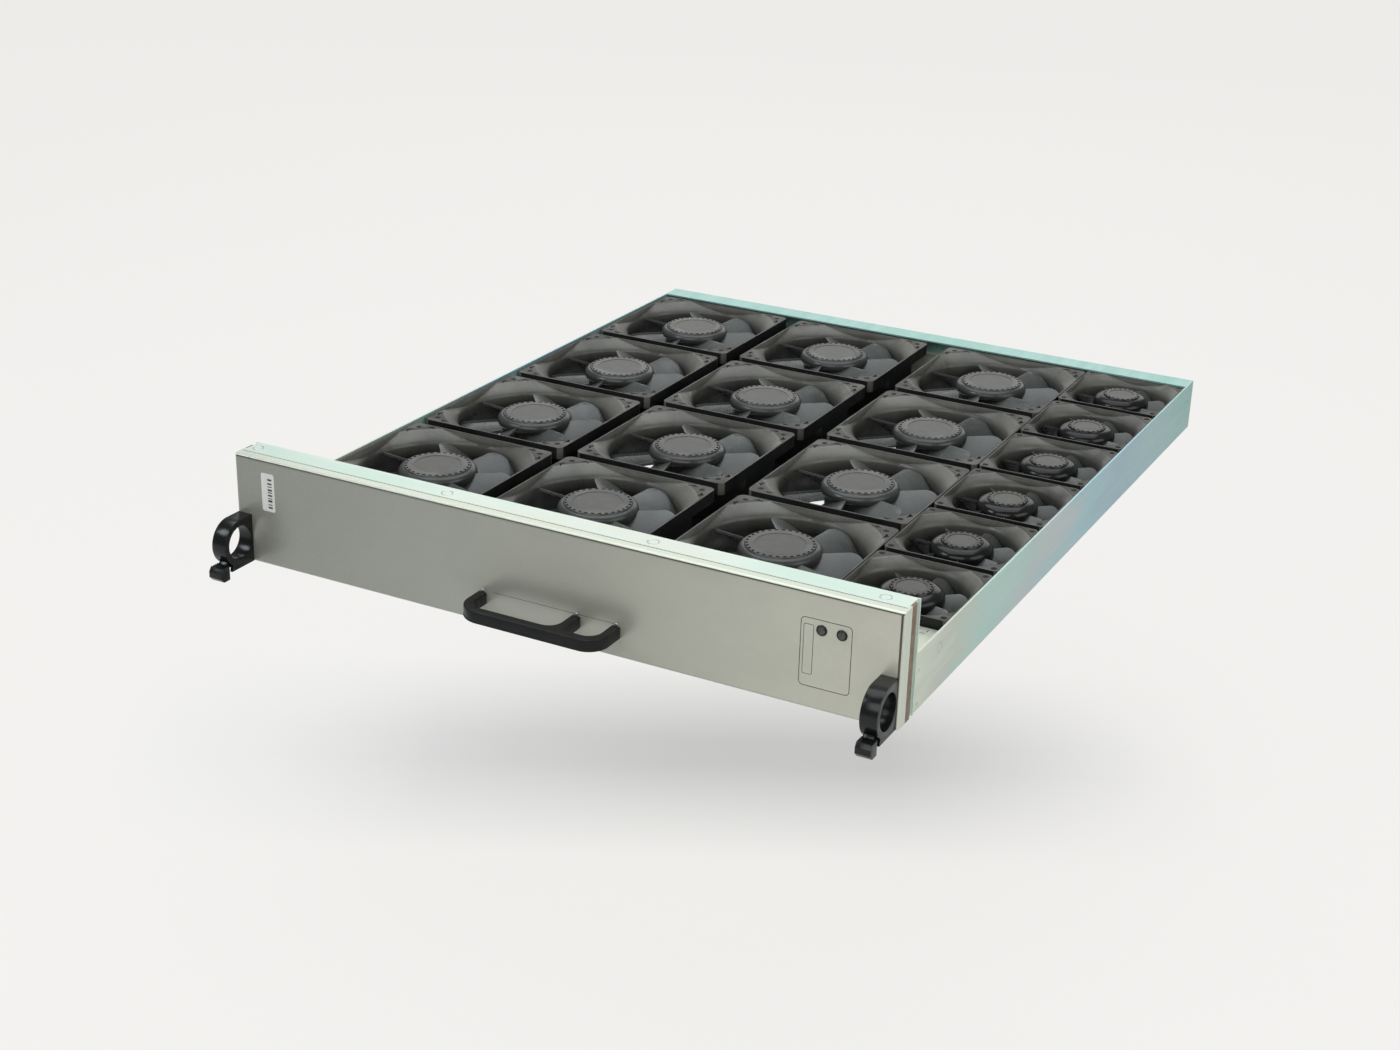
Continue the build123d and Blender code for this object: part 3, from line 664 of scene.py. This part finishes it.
def fan_blade(fan):
    half = fan.tip_chord / 2
    tip = fan.throat - tip_gap
    rise = fan.blade_high - fan.blade_low
    slope = math.hypot(fan.tip_chord, rise)
    round_radius = (slope ** 2 / 4 + fan.camber ** 2) / (2 * fan.camber)
    centre_y = (round_radius - fan.camber) * rise / slope
    centre_z = (fan.blade_low + fan.blade_high) / 2 - (round_radius - fan.camber) * fan.tip_chord / slope
    deselect()
    bpy.ops.mesh.primitive_grid_add(
        x_subdivisions=blade_columns, y_subdivisions=blade_rows, size=1, location=(fan.throat / 2, 0, 0))
    blade = take_name(fan.name + "_blade")
    blade.scale = (fan.throat, fan.tip_chord, 1)
    bpy.ops.object.transform_apply(location=True, rotation=True, scale=True)
    for row in range(blade_rows + 1):
        y = -half + row * fan.tip_chord / blade_rows
        select_points(blade, lambda point: abs(point.y - y) < 0.1 * mm and abs(point.z) < 0.01 * mm)
        height = centre_z + math.sqrt(round_radius ** 2 - (y - centre_y) ** 2)
        bpy.ops.transform.translate(value=(0, 0, height))
    leave_edit()
    change = blade.modifiers.new("thickness", "SOLIDIFY")
    change.thickness = fan.thickness
    change.offset = 0
    pick(blade)
    bpy.ops.object.modifier_apply(modifier=change.name)
    fix_normals(blade)
    widening = (fan.tip_chord - fan.root_chord) / 2
    edit(blade)
    for side in (1, -1):
        outwards = Vector((-widening, side * fan.throat, 0)).normalized()
        bpy.ops.mesh.select_all(action="SELECT")
        bpy.ops.mesh.bisect(
            plane_co=(0, side * fan.root_chord / 2, 0), plane_no=outwards, threshold=0.001 * mm,
            use_fill=True, clear_outer=True)
    leave_edit()
    round_tip(fan, blade, tip, widening)
    lean = Matrix.Rotation(math.radians(fan.sweep), 4, "Z")
    root = Matrix.Translation((fan.wall, 0, 0)) @ lean @ Matrix.Translation((-fan.root_chord / 2, 0, 0))
    blade.data.transform(root)
    carve(blade, turned("tip", [(cut_low, tip), (cut_high, tip)], round_steps), "INTERSECT")
    soften(blade, blade_edge, 2, 40)
    return blade


# The upper outer corner of a blade is rounded, with the round's middle found in a few steps
def round_tip(fan, blade, tip, widening):
    axis_x = fan.root_chord / 2 - fan.wall * math.cos(math.radians(fan.sweep))
    axis_y = fan.wall * math.sin(math.radians(fan.sweep))
    x, y = fan.throat / 2, 0.0
    for _ in range(8):
        x = axis_x + math.sqrt(tip ** 2 - (y - axis_y) ** 2) - fan.tip_round - 0.05 * mm
        y = fan.root_chord / 2 + widening * x / fan.throat - fan.tip_round
    corner = block("tip_corner", (x, y, 0), (x + fan.throat, y + fan.throat, fan.height))
    rings = [(cut_low, fan.tip_round), (cut_high, fan.tip_round)]
    carve(corner, turned("tip_round", rings, tip_round_steps, (x, y)))
    carve(blade, corner)


# Rotor: a capped hub with a ring of slots and a bare round label, and its blades
label_finish = 1
blade_finish = 2
shoulder_shares = (0.0, 0.12, 0.25, 0.4, 0.55, 0.7, 0.85, 1.0)
steps_per_slot = 4
slot_steps = 2
slot_depth = 1.4 * mm
label_depth = 0.25 * mm


def hub_rings(fan):
    cap_low = fan.hub_top - fan.cap
    label_top = fan.hub_top - label_depth
    rings = [
        (hub_floor, fan.wall - 1 * mm), (hub_floor + 1 * mm, fan.wall), (cap_low, fan.wall),
        (cap_low, fan.hub - 1.2 * mm), (cap_low + 0.4 * mm, fan.hub - 0.4 * mm),
        (cap_low + 1.2 * mm, fan.hub)]
    shoulder_top = fan.hub_top - 1.0 * mm
    width, drop = fan.shoulder
    for share in shoulder_shares:
        turn = share * quarter_turn
        height = shoulder_top - drop * (1 - math.sin(turn))
        rings.append((height, fan.hub - width * (1 - math.cos(turn))))
    return rings + [
        (fan.hub_top - 0.3 * mm, fan.disc - 0.1 * mm), (fan.hub_top, fan.disc - 0.4 * mm),
        (fan.hub_top, fan.slot_ring[0]), (fan.hub_top, fan.slot_ring[1]),
        (fan.hub_top, fan.label + 0.2 * mm), (label_top, fan.label), (label_top, fan.label / 2)]


def fan_rotor(fan):
    steps = fan.slots * steps_per_slot
    rotor = turned(fan.name + "_rotor", hub_rings(fan), steps)
    finishes = (rotor_plastic if fan.name == "large" else small_rotor_plastic, hub_label, blade_plastic)
    for material in finishes:
        rotor.data.materials.append(material)
    middle = sum(fan.slot_ring) / 2

    def in_slot(centre, normal):
        step = int((math.degrees(math.atan2(centre.y, centre.x)) % 360) / (360 / steps))
        on_ring = abs(centre.xy.length - middle) < 0.3 * mm and normal.z > 0.9
        return on_ring and step % steps_per_slot < slot_steps

    select_faces(rotor, in_slot)
    bpy.ops.mesh.extrude_region_move(TRANSFORM_OT_translate={"value": (0, 0, -slot_depth)})
    leave_edit()
    for face in rotor.data.polygons:
        if face.center.xy.length < fan.label and face.center.z > fan.hub_top - 0.4 * mm:
            face.material_index = label_finish
    shaft_rings = [(shaft_foot, shaft_radius), (hub_floor + 1 * mm, shaft_radius)]
    carve(rotor, turned("shaft", shaft_rings, bore_steps), "UNION")
    blade = fan_blade(fan)
    for material in finishes:
        blade.data.materials.append(material)
    for face in blade.data.polygons:
        face.material_index = blade_finish
    for number in range(blades):
        turn = Matrix.Rotation(math.radians(fan.park) + number * math.tau / blades, 4, "Z")
        carve(rotor, copy_piece(blade, "blade_copy", turn), "UNION")
    drop(blade)
    smooth(rotor, 32)
    return rotor


def fan_places():
    for tag in [f"{column}{row}" for column in (1, 2, 3) for row in (1, 2, 3, 4)]:
        yield "large", tag
    for row in range(1, 7):
        yield "small", f"4{row}"


masters = {fan.name: (fan_housing(fan), fan_rotor(fan)) for fan in (large, small)}
for size, tag in fan_places():
    node = f"{size}_fan_frame_{tag}"
    low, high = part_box(node)
    place = Matrix.Translation(((low.x + high.x) / 2, (low.y + high.y) / 2, low.z))
    housing = copy_piece(masters[size][0], f"{size}_housing_{tag}", place)
    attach(housing, "tray")
    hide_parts(node)
    rotor = copy_piece(masters[size][1], f"{size}_rotor_{tag}", place)
    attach(rotor, f"{size}_impeller_{tag}")
    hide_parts(f"{size}_impeller_{tag}")
for pair in masters.values():
    drop(*pair)

# CAD nodes that keep their shape
for node, material in (
        ("tray_pan", zinc), ("bay_cover", zinc), ("front_channel", pale), ("bezel", bezel_paint),
        ("panel_spacers", steel), ("end_gaskets", gasket_cloth), ("trigger_pins", steel),
        ("status_lights", lens_glass), ("controller_board", board_green), ("board_posts", steel),
        ("rear_connector", cream_plastic), ("rear_guide_pins", steel), ("main_trunk", sleeve),
        ("side_trunk", sleeve), ("trunk_clips", cream_plastic), ("lead_plugs", cream_plastic)):
    nodes[node].data.materials.clear()
    nodes[node].data.materials.append(material)


# Handles: the CAD forms with softened edges
def softened_node(node, name, body, slot_name, material, width):
    piece = copy_node(node, name)
    edit(piece)
    bpy.ops.mesh.select_all(action="SELECT")
    bpy.ops.mesh.dissolve_limited(angle_limit=math.radians(1))
    leave_edit()
    soften(piece, width, 3, 28)
    smooth(piece, 35)
    finish_piece(piece, body, slot_name, material, node)
    return piece


strap = softened_node("pull_handle", "pull_strap", "tray", "handle_paint", strap_black, 0.7 * mm)
for side in ("left", "right"):
    ring, trigger = f"ring_handle_{side}", f"latch_trigger_{side}"
    softened_node(ring, f"finger_ring_{side}", "tray", "gloss_black", handle_black, 0.5 * mm)
    softened_node(trigger, f"trigger_{side}", trigger, "gloss_black", handle_black, 0.25 * mm)


# Prints on the bezel: a rounded outline round the lights and a small box in it
sunk = 0.02 * mm
print_depth = 0.06 * mm


def outline_print(name, low, high, radius, line):
    deselect()
    middle = ((low[0] + high[0]) / 2, 0, (low[1] + high[1]) / 2)
    bpy.ops.mesh.primitive_plane_add(size=1, location=middle)
    piece = take_name(name)
    piece.rotation_euler = (quarter_turn, 0, 0)
    piece.scale = (high[0] - low[0], high[1] - low[1], 1)
    bpy.ops.object.transform_apply(location=True, rotation=True, scale=True)
    edit(piece, "VERT")
    bpy.ops.mesh.select_all(action="SELECT")
    bpy.ops.mesh.bevel(offset=radius, segments=6, affect="VERTICES")
    bpy.ops.mesh.select_mode(type="FACE")
    bpy.ops.mesh.select_all(action="SELECT")
    bpy.ops.mesh.inset(thickness=line)
    bpy.ops.mesh.delete(type="FACE")
    bpy.ops.mesh.select_all(action="SELECT")
    bpy.ops.mesh.extrude_region_move(TRANSFORM_OT_translate={"value": (0, -print_depth, 0)})
    leave_edit()
    piece.data.transform(Matrix.Translation((0, bezel_face + sunk, 0)))
    fix_normals(piece)
    return piece


for name, low, high, radius, line in (
        ("light_outline", (176.8 * mm, 14.7 * mm), (210.0 * mm, 59.4 * mm), 3.0 * mm, 0.45 * mm),
        ("inner_outline", (178.8 * mm, 22.5 * mm), (185.4 * mm, 55.2 * mm), 1.2 * mm, 0.35 * mm)):
    finish_piece(outline_print(name, low, high, radius, line), "tray", "gloss_black", print_and_shade_grey)

# White label at the left end, with a row of plain dashes
label_left, label_right = -219.5 * mm, -208.9 * mm
label_low, label_high = 39.7 * mm, 66.7 * mm
label_front, label_back = bezel_face - 0.12 * mm, bezel_face + sunk
sticker = block(
    "white_label", (label_left, label_front, label_low), (label_right, label_back, label_high))
select_edges(sticker, lambda a, b: abs(a.y - b.y) > 0.05 * mm)
bpy.ops.mesh.bevel(offset=1.6 * mm, segments=6, affect="EDGES")
leave_edit()
soften(sticker, 0.04 * mm, 1)
finish_piece(sticker, "tray", "pale_plastic", label_white)
bar_left, bar_right = -214.4 * mm, -210.9 * mm
bar_front, bar_back = bezel_face - 0.16 * mm, bezel_face - 0.10 * mm
bar_low = 42.0 * mm
bar_edge = 0.015 * mm
bar_widths = (1.3, 0.7, 1.5, 0.6, 1.2, 0.7, 1.4, 0.7, 1.2, 1.3)
bar_gaps = (1.1, 1.5, 0.8, 1.2, 1.1, 0.8, 1.3, 1.1, 1.6, 0.0)
bars = []
for wide, gap in zip(bar_widths, bar_gaps):
    bars.append(block("bar", (bar_left, bar_front, bar_low), (bar_right, bar_back, bar_low + wide * mm)))
    bar_low += (wide + gap) * mm
label_bars = join(bars[0], bars[1:])
label_bars.name = "label_bars"
soften(label_bars, bar_edge, 1)
finish_piece(label_bars, "tray", "gloss_black", print_and_shade_grey)

# Dark collar round each status light
light_height = 52.8 * mm
collar_radius, collar_bead = 2.75 * mm, 0.75 * mm
upright = Matrix.Rotation(quarter_turn, 4, "X")
collar = bead_ring("collar", collar_radius, collar_bead, 48, 10)
for side, x in (("left", 190.4 * mm), ("right", 203.4 * mm)):
    place = Matrix.Translation((x, bezel_face - 0.1 * mm, light_height)) @ upright
    finish_piece(copy_piece(collar, f"light_collar_{side}", place), "tray", "gloss_black", handle_black)
drop(collar)

# Fine ribs on the pull strap: low along its outer face, full height round the right bend
strap_low, strap_high = strap.bound_box[0][2], strap.bound_box[6][2]
strap_left, strap_right, strap_front = -48.2 * mm, 55.8 * mm, -357.1 * mm
left_bend, right_bend = 16.0 * mm, 14.0 * mm
left_bend_start, right_bend_end = -60, 64
rib_pitch = 1.6 * mm
rib_half = 0.4 * mm
rib_front, rib_back = -0.22 * mm, 0.5 * mm
rib_foot = strap_low + 0.5 * mm
rib_edge = 0.15 * mm
tall_ribs_before_bend = 6


def strap_rib(name, top):
    rib = block(name, (-rib_half, rib_front, rib_foot), (rib_half, rib_back, top))
    soften(rib, rib_edge, 1)
    return rib


low_rib = strap_rib("low_rib", strap_low + 1.7 * mm)
tall_rib = strap_rib("tall_rib", strap_high - 1.4 * mm)


def ribs_round(rib, centre, radius, start, end):
    made = []
    count = int(math.radians(end - start) * radius / rib_pitch)
    for number in range(count + 1):
        turn = Matrix.Rotation(math.radians(start + (end - start) * number / count), 4, "Z")
        place = Matrix.Translation((*centre, 0)) @ turn @ Matrix.Translation((0, -radius, 0))
        made.append(copy_piece(rib, "rib_copy", place))
    return made


ribs = []
straight = int((strap_right - right_bend - strap_left - left_bend) / rib_pitch)
for number in range(1, straight):
    place = Matrix.Translation((strap_left + left_bend + number * rib_pitch, strap_front, 0))
    rib = low_rib if number < straight - tall_ribs_before_bend else tall_rib
    ribs.append(copy_piece(rib, "rib_copy", place))
left_centre = (strap_left + left_bend, strap_front + left_bend)
right_centre = (strap_right - right_bend, strap_front + right_bend)
ribs += ribs_round(low_rib, left_centre, left_bend, left_bend_start, 0)
ribs += ribs_round(tall_rib, right_centre, right_bend, 0, right_bend_end)
strap_ribs = join(tall_rib, ribs)
drop(low_rib)
strap_ribs.name = "strap_ribs"
smooth(strap_ribs)
finish_piece(strap_ribs, "tray", "handle_paint", strap_black)

# Thin groove in the bezel behind the strap, drawn as a thin dark strip: painted shade of the groove
groove_left, groove_right = -37.0 * mm, 50.5 * mm
groove_low, groove_high = 22.6 * mm, 22.9 * mm
groove_front, groove_back = bezel_face - 0.03 * mm, bezel_face + sunk
groove = block(
    "bezel_groove_shade", (groove_left, groove_front, groove_low), (groove_right, groove_back, groove_high))
soften(groove, 0.01 * mm, 1)
finish_piece(groove, "tray", "bezel_paint", print_and_shade_grey)

# Domed screw heads over the feet of the strap: turned balls, each end merged to a point, pressed flat
screw_radius = 1.1 * mm
screw_end = merge_distance / 10
screw_row = strap_high + 0.9 * mm
screw_angles = [math.pi * step / 10 for step in range(1, 10)]
ball = [(-screw_radius * math.cos(angle), screw_radius * math.sin(angle)) for angle in screw_angles]
screw = turned("screw", [(-screw_radius, screw_end)] + ball + [(screw_radius, screw_end)], 20)
screw.data.transform(Matrix.Diagonal((1, 0.5, 1, 1)))
smooth(screw)
for number, x in enumerate((-45.1 * mm, 24.1 * mm, 52.7 * mm), 1):
    place = Matrix.Translation((x, bezel_face - 0.1 * mm, screw_row))
    finish_piece(copy_piece(screw, f"strap_screw_{number}", place), "tray", "plated_steel", steel)
drop(screw)

# Round marks on the right wall, each with its place along the wall, height and radius
wall_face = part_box("tray_pan")[1].x
wall_marks = (
    (-267.3 * mm, 29.2 * mm, 3.4 * mm), (-300.0 * mm, 27.8 * mm, 1.0 * mm),
    (-299.6 * mm, 5.5 * mm, 1.0 * mm))
wall_bead = 0.2 * mm
sideways = Matrix.Rotation(quarter_turn, 4, "Y")
for number, (y, z, radius) in enumerate(wall_marks, 1):
    mark = bead_ring(f"wall_mark_{number}", radius, wall_bead, 40, 8)
    mark.data.transform(Matrix.Translation((wall_face, y, z)) @ sideways)
    finish_piece(mark, "tray", "zinc_sheet", steel)

# Round stamped marks on the top of the front channel
channel_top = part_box("front_channel")[1].z
stamped_row = -313.0 * mm
stamp_radius, stamp_bead = 3.6 * mm, 0.28 * mm
stamp = bead_ring("stamp", stamp_radius, stamp_bead, 48, 8)
for number, x in enumerate((-233.3 * mm, -81.6 * mm, 69.1 * mm, 222.8 * mm), 1):
    mark = copy_piece(stamp, f"stamped_mark_{number}", Matrix.Translation((x, stamped_row, channel_top)))
    finish_piece(mark, "tray", "zinc_sheet", steel)
drop(stamp)


# To the camera a surface shows its own pale glow, and light from the lamps meets its plain finish
def glow_to_camera(tree, plain, glow, output, strength=None):
    paths = tree.nodes.new("ShaderNodeLightPath")
    share = tree.nodes.new("ShaderNodeMixShader")
    seen = paths.outputs["Is Camera Ray"]
    if strength is not None:
        seen = product(tree, strength, seen)
    tree.links.new(seen, share.inputs[0])
    tree.links.new(plain.outputs[0], share.inputs[1])
    tree.links.new(glow.outputs[0], share.inputs[2])
    tree.links.new(share.outputs[0], tree.nodes[output].inputs["Surface"])


# Floor: pale paper with an even glow, held back under the object so that its soft shadow shows
floor_size = 12
floor_drop = 230 * mm
ground = cad_box[0].z - floor_drop
view_azimuth = math.radians(27.37)
shadow_across, shadow_across_fade = (-0.26, 0.10), 0.26
shadow_along, shadow_along_fade = (-0.03, 0.01), 0.14


def backdrop():
    deselect()
    bpy.ops.mesh.primitive_plane_add(size=floor_size, location=(0, 0, ground))
    floor = take_name("floor")
    material, tree, shader = new_material("floor_paper")
    shader.inputs["Base Color"].default_value = (0.80, 0.79, 0.78, 1)
    shader.inputs["Roughness"].default_value = 0.9
    axes = place_axes(tree, -view_azimuth)
    across = band(tree, axes["X"], *shadow_across, shadow_across_fade)
    along = band(tree, axes["Y"], *shadow_along, shadow_along_fade)
    glow = tree.nodes.new("ShaderNodeEmission")
    glow.inputs["Color"].default_value = (0.915, 0.905, 0.885, 1)
    own_glow = map_range(tree, product(tree, across, along), 0.9, 0.45)
    glow_to_camera(tree, shader, glow, "Material Output", own_glow)
    floor.data.materials.append(material)


def sky():
    world = bpy.data.worlds.new("studio")
    bpy.context.scene.world = world
    world.use_nodes = True
    tree = world.node_tree
    lit = tree.nodes["Background"]
    lit.inputs["Color"].default_value = (0.80, 0.83, 0.86, 1)
    lit.inputs["Strength"].default_value = 0.25
    seen = tree.nodes.new("ShaderNodeBackground")
    seen.inputs["Color"].default_value = (0.92, 0.915, 0.90, 1)
    seen.inputs["Strength"].default_value = 1.0
    glow_to_camera(tree, lit, seen, "World Output")


# Lamps and camera
def lamp(name, place, aim, size, power, colour):
    data = bpy.data.lights.new(name, "AREA")
    data.shape = "RECTANGLE"
    data.size = size[0]
    data.size_y = size[1]
    data.energy = power
    data.color = colour
    made = bpy.data.objects.new(name, data)
    made.location = place
    made.rotation_mode = "QUATERNION"
    made.rotation_quaternion = (Vector(aim) - Vector(place)).to_track_quat("-Z", "Y")
    bpy.context.scene.collection.objects.link(made)


view_elevation = math.radians(22.82)
view_roll = math.radians(-1.65)
camera_place = (636.1 * mm, -1347.3 * mm, 584.1 * mm)
focal_pixels = 2112.34
photo_width = 1400
sensor_width = 36


def photo_camera():
    level = math.cos(view_elevation)
    back = Vector((
        math.sin(view_azimuth) * level, -math.cos(view_azimuth) * level, math.sin(view_elevation)))
    forward = -back
    right = forward.cross(Vector((0, 0, 1))).normalized()
    down = forward.cross(right)
    across = math.cos(view_roll) * right + math.sin(view_roll) * down
    under = -math.sin(view_roll) * right + math.cos(view_roll) * down
    data = bpy.data.cameras.new("photo_camera")
    data.sensor_width = sensor_width
    data.lens = sensor_width * focal_pixels / photo_width
    data.clip_start = 0.05
    data.clip_end = 50
    made = bpy.data.objects.new("photo_camera", data)
    turn = Matrix((across, -under, back)).transposed()
    made.matrix_world = Matrix.Translation(camera_place) @ turn.to_4x4()
    bpy.context.scene.collection.objects.link(made)
    bpy.context.scene.camera = made


backdrop()
sky()
lamp("overhead", (-0.2, 0.3, 1.6), (0, 0, 0), (1.8, 1.8), 19, (0.94, 0.98, 1.0))
lamp("front", (0.3, -2.2, 1.4), (0, -0.1, 0), (2.2, 1.2), 17, (1.0, 0.99, 0.96))
lamp("window", (-1.3, -1.3, 1.4), (0, 0, 0), (0.7, 0.7), 9, (0.86, 0.94, 1.0))
lamp("right_side", (1.7, -0.3, 0.9), (0.1, 0, 0), (1.4, 0.9), 8, (0.97, 1.0, 1.0))
lamp("far_side", (-0.9, 2.4, 1.0), (0, 0, 0), (2.6, 1.0), 9, (1.0, 0.99, 0.95))
photo_camera()
bpy.context.scene.view_settings.view_transform = "Standard"
